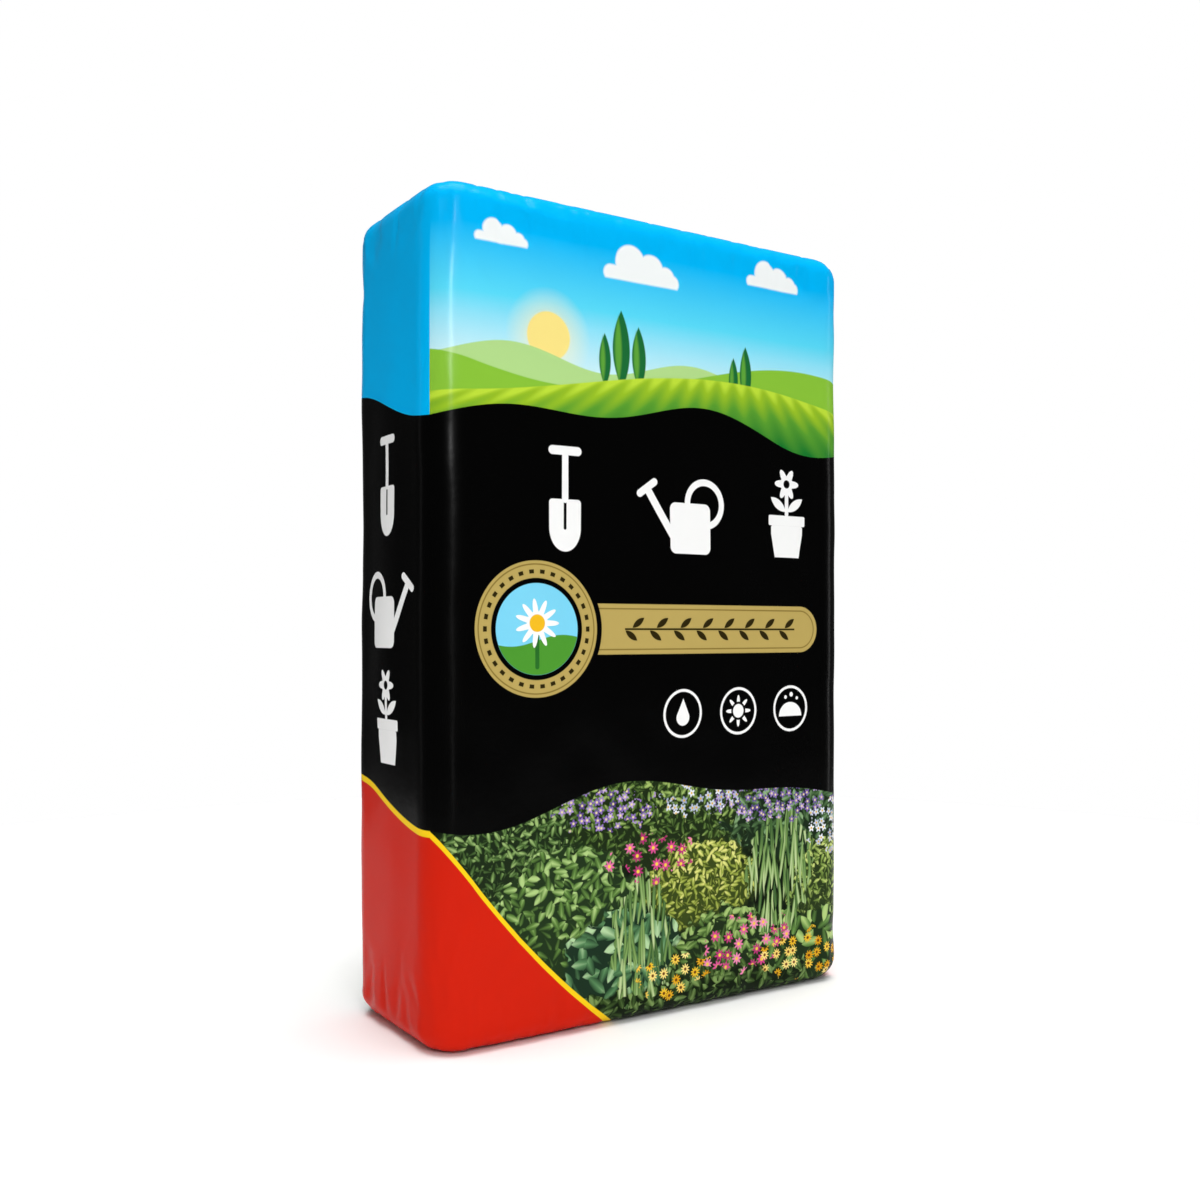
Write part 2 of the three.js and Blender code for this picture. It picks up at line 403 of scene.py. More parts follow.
class Print:
    """Ink laid in fields on one panel. Each shape is the distance outside its edge, in millimetres."""

    def __init__(self, tree, across, reach, ground):
        # across is the sign and the axis of u.
        self.add = functools.partial(add_node, tree)
        self.reach = reach  # from the middle to where the panel's print ends
        axes = self.add("ShaderNodeSeparateXYZ", self.add("ShaderNodeTexCoord").outputs["Object"])
        self.u = self.add(MATH, axes.outputs[across[1]], across[0] / MM, operation="MULTIPLY")
        self.v = self.add(MATH, axes.outputs["Z"], 1 / MM, operation="MULTIPLY")
        self.point = self.add("ShaderNodeCombineXYZ", self.u, self.v)
        self.colour = (*ground, 1)

    def layer(self, ground):
        """A layer of its own on the same panel, to be laid later as one colour."""
        other = copy.copy(self)
        other.colour = ground
        return other

    def moved(self, at, scale=1.0):
        """The same panel with its zero point elsewhere, for drawing a motif there at a scale."""
        other = copy.copy(self)
        gap = self.add(VECTOR, self.point, (*at, 0), operation="SUBTRACT")
        other.point = self.add(VECTOR, gap, named={"Scale": 1 / scale}, operation="SCALE")
        other.u = self.part(other.point, (1, 0, 0))
        other.v = self.part(other.point, (0, 1, 0))
        return other

    def part(self, vector, direction):
        """How much of a vector lies in a direction."""
        return self.add(VECTOR, vector, direction, operation="DOT_PRODUCT").outputs["Value"]

    def repeated(self, pitch):
        """The same panel with its zero point at every step of a pitch along it."""
        other = copy.copy(self)
        other.u = self.add(MATH, self.u, pitch / 2, -pitch / 2, operation="WRAP")
        other.point = self.add("ShaderNodeCombineXYZ", other.u, self.v)
        return other

    def lay(self, colour, distance, soft=EDGE_MM):
        """Lays a colour over the shape."""
        inside = self.add(MATH, distance, -1 / soft, 0.5, operation="MULTIPLY_ADD", use_clamp=True)
        if isinstance(colour, tuple):
            colour = (*colour[:3], 1)
        self.colour = self.add("ShaderNodeMix", inside, self.colour, colour, data_type="RGBA")

    def either(self, *shapes):
        """All the shapes together."""
        return functools.reduce(lambda a, b: self.add(MATH, a, b, operation="MINIMUM"), shapes)

    def within(self, *shapes):
        """Only where the shapes overlap."""
        return functools.reduce(lambda a, b: self.add(MATH, a, b, operation="MAXIMUM"), shapes)

    def without(self, shape, cut):
        """A shape with another cut out of it."""
        return self.within(shape, self.add(MATH, cut, -1, operation="MULTIPLY"))

    def disc(self, at, radius):
        gap = self.add(VECTOR, self.point, (*at, 0), operation="DISTANCE").outputs["Value"]
        return self.add(MATH, gap, radius, operation="SUBTRACT")

    def ring(self, at, radius, thick):
        off = self.add(MATH, self.disc(at, radius), operation="ABSOLUTE")
        return self.add(MATH, off, thick / 2, operation="SUBTRACT")

    def oval(self, at, radii):
        gap = self.add(VECTOR, self.point, (*at, 0), operation="SUBTRACT")
        scaled = self.add(VECTOR, gap, (1 / radii[0], 1 / radii[1], 0), operation="MULTIPLY")
        share = self.add(VECTOR, scaled, operation="LENGTH").outputs["Value"]
        return self.add(MATH, share, min(radii), -min(radii), operation="MULTIPLY_ADD")

    def block(self, at, half, corner):
        gap = self.add(VECTOR, self.point, (*at, 0), operation="SUBTRACT")
        off = self.add(VECTOR, gap, operation="ABSOLUTE")
        past = self.add(VECTOR, off, (half[0] - corner, half[1] - corner, 0), operation="SUBTRACT")
        outside = self.add(VECTOR, past, (0, 0, 0), operation="MAXIMUM")
        gap = self.add(VECTOR, outside, operation="LENGTH").outputs["Value"]
        return self.add(MATH, gap, corner, operation="SUBTRACT")

    def bar(self, start, end, radius):
        """A straight stroke with round ends."""
        run = Vector((end[0] - start[0], end[1] - start[1], 0))
        gap = self.add(VECTOR, self.point, (*start, 0), operation="SUBTRACT")
        share = self.add(VECTOR, gap, run / run.length_squared, operation="DOT_PRODUCT").outputs["Value"]
        held = self.add(MATH, share, 1, operation="MULTIPLY", use_clamp=True)
        nearest = self.add(VECTOR, run, named={"Scale": held}, operation="SCALE")
        off = self.add(VECTOR, gap, nearest, operation="DISTANCE").outputs["Value"]
        return self.add(MATH, off, radius, operation="SUBTRACT")

    def leaf(self, at, angle, half_length, half_width):
        """A pointed leaf: where two discs overlap."""
        radius = (half_length**2 + half_width**2) / (2 * half_width)
        aside = Vector((-math.sin(angle), math.cos(angle))) * (radius - half_width)
        return self.within(self.disc(Vector(at) + aside, radius), self.disc(Vector(at) - aside, radius))

    def petals(self, radius, count, depth, turn=0.0):
        """A flower's outline round the zero point."""
        angle = self.add(MATH, self.v, self.u, operation="ARCTAN2")
        lobes = self.add(MATH, angle, count, turn, operation="MULTIPLY_ADD")
        swing = self.add(MATH, lobes, operation="COSINE")
        edge = self.add(MATH, swing, depth, radius - depth, operation="MULTIPLY_ADD")
        reach = self.add(VECTOR, self.point, operation="LENGTH").outputs["Value"]
        return self.add(MATH, reach, edge, operation="SUBTRACT")

    def wave(self, level, swing, length, shift=0.0):
        """A height that rises and falls along the panel, once in a length."""
        turn = self.add(MATH, self.u, 2 * math.pi / length, shift, operation="MULTIPLY_ADD")
        return self.add(MATH, self.add(MATH, turn, operation="SINE"), swing, level, operation="MULTIPLY_ADD")

    def above(self, height):
        return self.add(MATH, height, self.v, operation="SUBTRACT")

    def below(self, height):
        return self.add(MATH, self.v, height, operation="SUBTRACT")

    def cells(self, spacing, stretch=1.0):
        """Scattered spots, one to a cell: the place against the nearest spot, and its random numbers."""
        place = self.point
        if stretch != 1:
            place = self.add(VECTOR, place, (1, 1 / stretch, 1), operation="MULTIPLY")
        density = {"Scale": 1 / spacing, "Randomness": 0.8}
        spots = self.add("ShaderNodeTexVoronoi", place, named=density, voronoi_dimensions="2D")
        gap = self.add(VECTOR, place, spots.outputs["Position"], operation="SUBTRACT")
        if stretch != 1:
            gap = self.add(VECTOR, gap, (1, stretch, 1), operation="MULTIPLY")
        return gap, self.add("ShaderNodeSeparateColor", spots.outputs["Color"])

    def leaves(self, spacing, half_length, half_width, lean=0.0, spread=math.pi, stretch=1.0):
        """Scattered pointed leaves: the distance to a leaf, and its tone, lighter to its tip and its rib."""
        gap, chance = self.cells(spacing, stretch)
        angle = self.add(MATH, chance.outputs[0], 2 * spread, lean - spread, operation="MULTIPLY_ADD")
        turned = self.add("ShaderNodeVectorRotate", gap, named={"Angle": angle}, rotation_type="Z_AXIS")
        along = self.part(turned, (1 / half_length, 0, 0))
        taper = self.add(MATH, along, along, operation="MULTIPLY")
        half = self.add(MATH, taper, -half_width, half_width, operation="MULTIPLY_ADD")
        off = self.add(MATH, self.part(turned, (0, 1, 0)), operation="ABSOLUTE")
        tone = self.add(MATH, along, 0.22, chance.outputs[1], operation="MULTIPLY_ADD")
        rib = self.add(MATH, off, -0.5 / half_width, tone, operation="MULTIPLY_ADD")
        return self.add(MATH, off, half, operation="SUBTRACT"), rib

    def blossoms(self, spacing, radius, petals):
        """Scattered blossoms: the distance to one, the distance to its eye, and its random number."""
        gap, chance = self.cells(spacing)
        angle = self.add(MATH, self.part(gap, (0, 1, 0)), self.part(gap, (1, 0, 0)), operation="ARCTAN2")
        turn = self.add(MATH, chance.outputs[0], 6.0, operation="MULTIPLY")
        lobes = self.add(MATH, angle, petals, turn, operation="MULTIPLY_ADD")
        swing = self.add(MATH, lobes, operation="COSINE")
        edge = self.add(MATH, swing, 0.24 * radius, 0.76 * radius, operation="MULTIPLY_ADD")
        reach = self.add(VECTOR, gap, operation="LENGTH").outputs["Value"]
        eye = self.add(MATH, reach, 0.28 * radius, operation="SUBTRACT")
        return self.add(MATH, reach, edge, operation="SUBTRACT"), eye, chance.outputs[1]

    def drift(self, rough, at, radii, ragged):
        """A loose oval patch, with its edge frayed by a noise."""
        edge = self.add(MATH, self.oval(at, radii), ragged / 2, operation="SUBTRACT")
        return self.add(MATH, rough, ragged, edge, operation="MULTIPLY_ADD")


def spade(ink):
    blade = ink.either(ink.block((0, -9), (10, 9), 2), ink.oval((0, -16), (10, 13)))
    blade = ink.without(blade, ink.bar((0, -2), (0, -16), 0.9))
    return ink.either(ink.bar((-8, 27), (8, 27), 2.5), ink.bar((0, 27), (0, 0), 2.0), blade)


def watering_can(ink):
    return ink.either(
        ink.block((4, -11), (15, 15), 4),
        ink.bar((-9, -16), (-27, 11), 2.4),
        ink.bar((-32, 8), (-22, 15), 2.2),
        ink.ring((15, 4), 13, 4),
    )


def flower_pot(ink):
    slope = ink.add(MATH, ink.v, 0.2, 15.5, operation="MULTIPLY_ADD")
    bowl = ink.within(
        ink.block((0, -17), (13, 10), 1.5),
        ink.add(MATH, ink.add(MATH, ink.u, operation="ABSOLUTE"), slope, operation="SUBTRACT"),
    )
    bloom = ink.moved((0, 19))
    return ink.either(
        bowl,
        ink.block((0, -4), (15, 3.2), 1),
        ink.bar((0, 0), (0, 14), 1.5),
        ink.leaf((7, 6), 0.6, 7.5, 2.8),
        ink.leaf((-7, 6), math.pi - 0.6, 7.5, 2.8),
        bloom.without(bloom.petals(10, 6, 2.4), bloom.disc((0, 0), 2.6)),
    )


SPRIG_PITCH = 21
SPRIGS = 8


def sprig(ink):
    """A pair of leaves on a stem that runs on into the next one."""
    return ink.either(
        ink.bar((-SPRIG_PITCH / 2, 0), (SPRIG_PITCH / 2, 0), 0.7),
        ink.leaf((3, 4.6), 0.62, 6.2, 2.3),
        ink.leaf((-3, -4.6), -0.62, 6.2, 2.3),
    )


def rain_drop(ink):
    # The two straight flanks leave the round bottom at its tangents and meet at the tip.
    middle, radius, tip = -3, 6, 11
    slope = math.asin(radius / (tip - middle))
    width = ink.add(MATH, ink.add(MATH, ink.u, operation="ABSOLUTE"), math.cos(slope), operation="MULTIPLY")
    height = ink.add(MATH, ink.v, math.sin(slope), -tip * math.sin(slope), operation="MULTIPLY_ADD")
    flanks = ink.within(
        ink.add(MATH, width, height, operation="ADD"), ink.above(middle + radius * math.sin(slope))
    )
    return ink.either(ink.ring((0, 0), 17, 2), ink.disc((0, middle), radius), flanks)


def sunshine(ink):
    rays = ink.without(ink.petals(12, 8, 4.5), ink.disc((0, 0), 7))
    return ink.either(ink.ring((0, 0), 17, 2), ink.disc((0, 0), 5.2), rays)


def soil_heap(ink):
    heap = ink.within(ink.oval((0, -6), (12, 11)), ink.above(-6.0))
    crumbs = ink.either(ink.disc((-5, 9), 1.4), ink.disc((1, 11), 1.8), ink.disc((7, 8), 1.3))
    return ink.either(ink.ring((0, 0), 17, 2), heap, crumbs)


# Leaves: spacing, half length and half width.
FINE_LEAF = (6.0, 3.8, 1.5)
MIDDLE_LEAF = (9.0, 5.8, 2.4)
BROAD_LEAF = (15.0, 9.6, 4.0)
LEAF_LAYERS = 3
LEAF_SOFT = 0.8  # how soft a leaf's edge is
CLUMP_FRAY = 24  # how far a clump's edge frays

# Plants, back to front: the middle and the half size of the clump, its leaf, and tones from dark to light.
PLANTS = (
    ((-110, 128), (84, 44), FINE_LEAF, ("#1d2b17", "#4f7038", "#9fbd74")),
    ((8, 148), (92, 42), FINE_LEAF, ("#1e2c14", "#547334", "#a6c06a")),
    ((130, 140), (70, 36), MIDDLE_LEAF, ("#1a2a19", "#48693f", "#92b583")),
    ((-82, 86), (60, 46), MIDDLE_LEAF, ("#22351c", "#60863f", "#b0ce82")),
    ((36, 92), (50, 34), FINE_LEAF, ("#39471a", "#9aa944", "#e2e184")),
    ((166, 78), (44, 40), FINE_LEAF, ("#2a391b", "#7c9745", "#c9d67b")),
    ((-34, 42), (52, 42), BROAD_LEAF, ("#1c3222", "#568657", "#b4d5a2")),
    ((60, 38), (52, 36), MIDDLE_LEAF, ("#1f2e18", "#5b7d3b", "#a7c474")),
    ((140, 30), (54, 34), BROAD_LEAF, ("#1f3119", "#618a42", "#b1cd7c")),
    ((30, 8), (120, 20), MIDDLE_LEAF, ("#141f0e", "#3d5629", "#7f9c58")),
)

# Tufts of upright blades: their middles and half sizes.
TUFTS = (((112, 95), (34, 50)), ((-20, 60), (26, 44)))
BLADE_SPACINGS = (4.2, 5.1)
BLADE_TONES = ("#3f6133", "#7c9f57", "#c3d69c")

BLOSSOM_SOFT = 0.7
PATCH_FRAY = 22
# Blossoms: spacing, radius, petals, tones and eye, and the middles and half sizes of their patches.
BLOSSOMS = (
    (
        (6.5, 3.0, 5, ("#553c86", "#8a6cba", "#c2a8de"), "#efe09a"),
        (((110, 152), (60, 16)), ((-52, 156), (40, 14))),
    ),
    (
        (7.5, 3.2, 5, ("#9aa6c4", "#cfd6e6", "#f2f4fa"), "#e2b832"),
        (((34, 158), (34, 12)), ((168, 128), (26, 20))),
    ),
    (
        (12.0, 4.6, 8, ("#a8246a", "#d8468e", "#f08fba"), "#f2cd48"),
        (((78, 44), (44, 20)), ((-10, 118), (34, 16))),
    ),
    (
        (11.0, 4.2, 10, ("#e09e14", "#f6c832", "#fdea96"), "#6f3a12"),
        (((140, 26), (44, 18)), ((10, 28), (32, 16))),
    ),
)


def planted_border(ink):
    """The foot of the front and the back: clumps of leaves, blades and blossoms, layer over layer."""
    # Dark soil shows between the clumps, in clods of about 9 mm.
    litter = {"Scale": 1 / 9, "Detail": 4.0}
    shade = ink.add("ShaderNodeTexNoise", ink.point, named=litter, noise_dimensions="2D")
    ground = ((0.3, "#060b05"), (0.55, "#15210f"), (0.75, "#2b3d1a"))
    bed = ink.layer(ink.add("ShaderNodeValToRGB", shade, stops=ground))

    def lay_toned(shape, tone, tones, place, soft):
        stops = tuple(zip((0.0, 0.5, 1.0), tones))
        bed.lay(bed.add("ShaderNodeValToRGB", tone, stops=stops), bed.within(shape, place), soft)

    # Far from the zero point, fields of different spacing have nothing in common.
    far = bed.moved((-700, -900))
    fields = {}
    for leaf in (FINE_LEAF, MIDDLE_LEAF, BROAD_LEAF):
        spacings = [leaf[0] * (1 + 0.07 * layer) for layer in range(LEAF_LAYERS)]
        fields[leaf] = [far.leaves(spacing, *leaf[1:]) for spacing in spacings]
    fray = bed.add("ShaderNodeTexNoise", bed.point, named={"Scale": 1 / 14}, noise_dimensions="2D")
    for at, half, leaf, tones in PLANTS:
        clump = bed.drift(fray, at, half, CLUMP_FRAY)
        # A clump is lit from above, and its foot is in shade.
        climb = {"From Min": at[1] - half[1], "From Max": at[1] + half[1], "To Min": -0.4, "To Max": 0.35}
        light = bed.add("ShaderNodeMapRange", bed.v, named=climb)
        bed.lay(linear(tones[0]), clump, soft=5)
        for shape, tone in fields[leaf]:
            lit = bed.add(MATH, tone, light, operation="ADD")
            lay_toned(shape, lit, tones, clump, LEAF_SOFT)
    blades = [far.leaves(spacing, 19, 1.5, math.pi / 2, 0.24, stretch=8) for spacing in BLADE_SPACINGS]
    tufts = bed.either(*(bed.drift(fray, at, half, CLUMP_FRAY) for at, half in TUFTS))
    for shape, tone in blades:
        lit = bed.add(MATH, tone, 0.1, operation="ADD")
        lay_toned(shape, lit, BLADE_TONES, tufts, LEAF_SOFT)
    for (spacing, radius, petals, tones, eye_colour), patches in BLOSSOMS:
        shape, eye, chance = far.blossoms(spacing, radius, petals)
        place = bed.either(*(bed.drift(fray, at, half, PATCH_FRAY) for at, half in patches))
        lay_toned(shape, chance, tones, place, BLOSSOM_SOFT)
        bed.lay(linear(eye_colour), bed.within(eye, place), BLOSSOM_SOFT)
    return bed.colour


def lay_weather(header):
    """Lays the low sun and the clouds on the sky."""
    sun = header.disc((-98, 486), 17)
    header.lay(linear("#fff7c8"), sun, soft=34)
    header.lay(linear("#ffe98a"), sun, soft=1.2)
    clouds = (((-20, 538), 1.0), ((105, 552), 0.8), ((-135, 546), 0.62))
    puffs = ((-10, 9, 13), (8, 7, 11), (21, 3, 8))
    shapes = []
    for at, scale in clouds:
        shape = header.block(at, (33 * scale, 6 * scale), 6 * scale)
        for u, v, radius in puffs:
            shape = header.either(shape, header.disc((at[0] + u * scale, at[1] + v * scale), radius * scale))
        shapes.append(header.within(shape, header.above(at[1] - 4 * scale)))
    header.lay(linear("#fbffff"), header.either(*shapes), soft=1.6)


# Slim trees behind the ploughed hill: the place along the panel, and half the height.
TREES = ((-52, 19), (-38, 28), (-23, 23), (64, 17), (76, 22))
CREST = 456  # the ploughed hill's mean height, where the trees stand
ROWS_MEET = (60, 540)  # the ploughed rows fan out from here
HORIZON = 440.0  # the sky is palest here, and deepest at its top
SKY_TOP = 555.0


def sky_and_hills(ink, weather):
    """The header: a sky that pales to the horizon, its weather, and hills with ploughed rows."""
    rise = ink.add("ShaderNodeMapRange", ink.v, named={"From Min": HORIZON, "From Max": SKY_TOP})
    pale = ((0.0, "#effdfb"), (0.28, "#c3f2fd"), (0.6, "#5cdffd"), (1.0, "#02bbfe"))
    header = ink.layer(ink.add("ShaderNodeValToRGB", rise, stops=pale))
    if weather:
        lay_weather(header)
    header.lay(linear("#b6df8e"), header.below(header.wave(472, 7, 150, 0.6)), soft=0.8)
    header.lay(linear("#8cc63c"), header.below(header.wave(470, 17, 420, -0.4)), soft=0.8)
    trees = []
    lit_sides = []
    for u, half in TREES:
        middle = CREST + half
        trees.append(header.leaf((u, middle), math.pi / 2, half, 0.26 * half))
        lit_sides.append(header.leaf((u - 0.09 * half, middle), math.pi / 2, 0.8 * half, 0.1 * half))
    header.lay(linear("#1f6e37"), header.either(*trees), soft=0.8)
    header.lay(linear("#5fa63c"), header.either(*lit_sides), soft=2.0)
    near = header.below(header.wave(CREST, 15, 520, 0.9))
    depth = header.add("ShaderNodeMapRange", near, named={"From Min": -44.0, "From Max": 0.0})
    field = ((0.0, "#1c7a2e"), (0.5, "#5a9f31"), (0.85, "#9bc42a"), (1.0, "#c2e23e"))
    rows = header.moved(ROWS_MEET)
    spoke = rows.add(MATH, rows.u, rows.v, operation="DIVIDE")
    stripe = rows.add(MATH, rows.add(MATH, spoke, 30.0, operation="MULTIPLY"), operation="SINE")
    light = rows.add(MATH, stripe, 0.09, depth, operation="MULTIPLY_ADD")
    header.lay(header.add("ShaderNodeValToRGB", light, stops=field), near, soft=0.8)
    return header.colour


# Heights where the printed fields meet the upright edges. They rise from the front edges to the back ones.
HEADER_EDGE = 426
FOOT_EDGE = 150
BACK_RISE = 28
YELLOW_LINE = 4.5
SWEEP_END = 40.0  # the red sweep's curve levels out here, below the base
SWEEP_DIP = 30.0
SWEEP_BEND = 1.7
BETWEEN_ENDS = 300.0  # a height that parts the top's print from the base's


def header_edge(ink):
    """Lower edge of the header. It meets both upright edges at one height."""
    slow = ink.wave(HEADER_EDGE + 9, 9, 2 * ink.reach, math.pi / 2)
    return ink.add(MATH, slow, ink.wave(0, 7, ink.reach), operation="ADD")


def bed_edge(ink):
    """Upper edge of the planted border. It meets both upright edges at one height."""
    slow = ink.wave(FOOT_EDGE + 11, 11, 2 * ink.reach, math.pi / 2)
    return ink.add(MATH, slow, ink.wave(0, -5, ink.reach), operation="ADD")


def foot_sweep(ink):
    """Upper edge of the red sweep: high at the left upright edge, curving down to the base."""
    ends = {"From Min": -ink.reach, "From Max": SWEEP_END, "To Min": 1.0, "To Max": 0.0}
    left = ink.add("ShaderNodeMapRange", ink.u, named=ends)
    bend = ink.add(MATH, left, SWEEP_BEND, operation="POWER")
    return ink.add(MATH, bend, FOOT_EDGE + SWEEP_DIP, -SWEEP_DIP, operation="MULTIPLY_ADD")


def lay_foot(ink, inks, edge):
    """Lays the red foot with the yellow line along its upper edge."""
    ink.lay(tuple(inks.yellow), ink.below(edge))
    ink.lay(tuple(inks.red), ink.below(ink.add(MATH, edge, YELLOW_LINE, operation="SUBTRACT")))


GOLD_LINE = "#8a7538"
DARK_BROWN = "#2e260f"
PICTURE_RADIUS = 31.5


def round_seal(ink, inks):
    """A gold ring round a daisy in a field."""
    seal = ink.layer((*inks.gold, 1))
    seal.lay(linear(GOLD_LINE), ink.ring((0, 0), 44.5, 1.0))
    turn = ink.add(MATH, ink.v, ink.u, operation="ARCTAN2")
    beat = ink.add(MATH, ink.add(MATH, turn, 30.0, operation="MULTIPLY"), operation="COSINE")
    beads = ink.add(MATH, beat, -3.0, 0.6, operation="MULTIPLY_ADD")
    seal.lay(linear(DARK_BROWN), ink.within(ink.ring((0, 0), 39.5, 2.8), beads))
    seal.lay(tuple(inks.black), ink.disc((0, 0), 35))
    seal.lay(linear("#7fd8f6"), ink.disc((0, 0), PICTURE_RADIUS))
    field = ink.within(ink.disc((0, 0), PICTURE_RADIUS), ink.below(ink.wave(-8, 4, 80)))
    seal.lay(linear("#4f9a33"), field)
    seal.lay(linear("#2c6e2a"), ink.bar((0, -26), (0, 0), 1.6))
    bloom = ink.moved((0, 4))
    seal.lay(linear("#fdfdfb"), bloom.petals(17, 11, 4.5))
    seal.lay(linear("#f6bf26"), bloom.disc((0, 0), 6))
    return seal.colour


# The seal, and where the gold band that runs out of it ends.
SEAL_AT = (-108, 284)
SEAL_RADIUS = 47
BAND_END = 150
BAND_HALF = 18


def lay_band(ink, inks):
    """Lays the gold band that runs out of the seal, with a fine line along both its edges."""
    seal_u, level = SEAL_AT
    half = (BAND_END - seal_u) / 2
    middle = (seal_u + half, level)
    ink.lay(tuple(inks.gold), ink.block(middle, (half, BAND_HALF), BAND_HALF - 0.1))
    inner = ink.block(middle, (half - 3.5, BAND_HALF - 3.5), BAND_HALF - 3.6)
    line = ink.add(MATH, ink.add(MATH, inner, operation="ABSOLUTE"), 0.5, operation="SUBTRACT")
    ink.lay(linear(GOLD_LINE), line)
    vine_u = (seal_u + SEAL_RADIUS + BAND_END) / 2
    length = ink.block((vine_u, level), (SPRIGS * SPRIG_PITCH / 2 - 2, BAND_HALF), 0.5)
    vine = sprig(ink.moved((vine_u + SPRIG_PITCH / 2, level)).repeated(SPRIG_PITCH))
    ink.lay(linear(DARK_BROWN), ink.within(vine, length))


# Pictograms of tools, in a row on the front and one over the other on the sides, and the front's ring signs.
TOOL_PLACES = ((-86, 374), (16, 372), (118, 374))
TOOLS = (spade, watering_can, flower_pot)
TOOL_SCALE = 1.25
SIDE_HEIGHTS = (384, 302, 222)
SIDE_TOOL_SCALE = 1.2
SIGNS = (rain_drop, sunshine, soil_heap)
SIGN_PLACES = ((14, 222), (68, 222), (122, 222))


def lay_motifs(ink, inks):
    """Lays the front's white tools and signs, the gold band and the seal on the black field."""
    tools = [tool(ink.moved(at, TOOL_SCALE)) for tool, at in zip(TOOLS, TOOL_PLACES)]
    signs = [sign(ink.moved(at)) for sign, at in zip(SIGNS, SIGN_PLACES)]
    ink.lay(tuple(inks.white), ink.either(*tools), soft=EDGE_MM / TOOL_SCALE)
    ink.lay(tuple(inks.white), ink.either(*signs))
    lay_band(ink, inks)
    ink.lay(tuple(inks.black), ink.disc(SEAL_AT, SEAL_RADIUS + 4))
    ink.lay(round_seal(ink.moved(SEAL_AT), inks), ink.disc(SEAL_AT, SEAL_RADIUS))


def head_print(tree, film, inks, across, rise, motifs):
    """The upper part of the front or the back: the header over the black field, and the front's motifs."""
    ink = Print(tree, across, film.print_half_width, inks.black).moved((0, rise))
    ink.lay(sky_and_hills(ink, motifs), ink.above(header_edge(ink)))
    if motifs:
        lay_motifs(ink, inks)
    return ink.colour


def foot_print(tree, film, inks, across, rise):
    """The lower part of the front or the back: a planted border with a red sweep, under the black field."""
    ink = Print(tree, across, film.print_half_width, inks.black).moved((0, rise))
    ink.lay(planted_border(ink), ink.below(bed_edge(ink)))
    lay_foot(ink, inks, foot_sweep(ink))
    return ink.colour


def side_print(tree, film, inks):
    """A side panel's print: plain blue, black and red fields, with the tools one over the other."""
    ink = Print(tree, (1, "Y"), film.print_half_depth, inks.black)
    climb = ink.wave(BACK_RISE / 2, BACK_RISE / 2, 4 * ink.reach)
    ink.lay(tuple(inks.sky), ink.above(ink.add(MATH, climb, float(HEADER_EDGE), operation="ADD")))
    lay_foot(ink, inks, ink.add(MATH, climb, float(FOOT_EDGE), operation="ADD"))
    tools = [tool(ink.moved((0, height), SIDE_TOOL_SCALE)) for tool, height in zip(TOOLS, SIDE_HEIGHTS)]
    ink.lay(tuple(inks.white), ink.either(*tools), soft=EDGE_MM / SIDE_TOOL_SCALE)
    return ink.colour


def end_print(tree, film, inks):
    """The folded ends: the header's blue on top, and plain black underneath."""
    ink = Print(tree, (1, "X"), film.print_half_width, inks.black)
    ink.lay(tuple(inks.sky), ink.above(BETWEEN_ENDS))
    return ink.colour


def film_material(name, colour_of):
    """Blown polyethylene film, gravure-printed: smooth and softly glossy, a little uneven over the soil."""
    material = bpy.data.materials.new(name)
    material.use_nodes = True
    tree = material.node_tree
    tree.nodes.clear()
    colour = colour_of(tree)
    place = add_node(tree, "ShaderNodeTexCoord").outputs["Object"]
    # Crumbs of soil press into the film from behind, 5 to 10 mm apart.
    crumbs = add_node(tree, "ShaderNodeTexNoise", place, named={"Scale": 1 / (9 * MM), "Detail": 3.0})
    bump = add_node(tree, "ShaderNodeBump", named={"Height": crumbs, "Strength": 0.25, "Distance": 0.5 * MM})
    # The film's haze varies a little over a few centimetres.
    haze = add_node(tree, "ShaderNodeTexNoise", place, named={"Scale": 1 / (40 * MM), "Detail": 2.0})
    rough = add_node(tree, "ShaderNodeMapRange", haze, named={"To Min": 0.18, "To Max": 0.28})
    # The ink's matt surface takes most of the film's gloss away.
    gloss = {"Roughness": rough, "IOR": 1.51, "Specular IOR Level": 0.025}
    shader = add_node(tree, "ShaderNodeBsdfPrincipled", colour, named={"Normal": bump, **gloss})
    add_node(tree, "ShaderNodeOutputMaterial", shader)
    return material


def film_materials(film, inks):
    """The film's materials in the order of the mesh's material numbers."""
    front = (film, inks, (1, "X"), 0)
    back = (film, inks, (-1, "X"), BACK_RISE)
    return (
        film_material("printed_polyethylene_front_head", lambda tree: head_print(tree, *front, motifs=True)),
        film_material("printed_polyethylene_front_foot", lambda tree: foot_print(tree, *front)),
        film_material("printed_polyethylene_back_head", lambda tree: head_print(tree, *back, motifs=False)),
        film_material("printed_polyethylene_back_foot", lambda tree: foot_print(tree, *back)),
        film_material("printed_polyethylene_side", lambda tree: side_print(tree, film, inks)),
        film_material("printed_polyethylene_end", lambda tree: end_print(tree, film, inks)),
    )


FRONT_HEAD, FRONT_FOOT, BACK_HEAD, BACK_FOOT, SIDE, END = range(6)
END_PRINT_FACING = 0.97  # a face that points up or down at least this far takes the ends' print
FOOT_TOP = 190  # height in the front's black field where the lower part of its print ends


def panel_of(face):
    """Which part of the print a face takes, by its place and the way it faces before the film is pressed."""
    facing = face.normal
    if abs(facing.z) > END_PRINT_FACING:
        return END
    if math.atan2(abs(facing.x), abs(facing.y)) > PRINT_WRAP:
        return SIDE
    height = face.calc_center_median().z / MM
    if facing.y < 0:
        return FRONT_HEAD if height > FOOT_TOP else FRONT_FOOT
    return BACK_HEAD if height > FOOT_TOP + BACK_RISE else BACK_FOOT


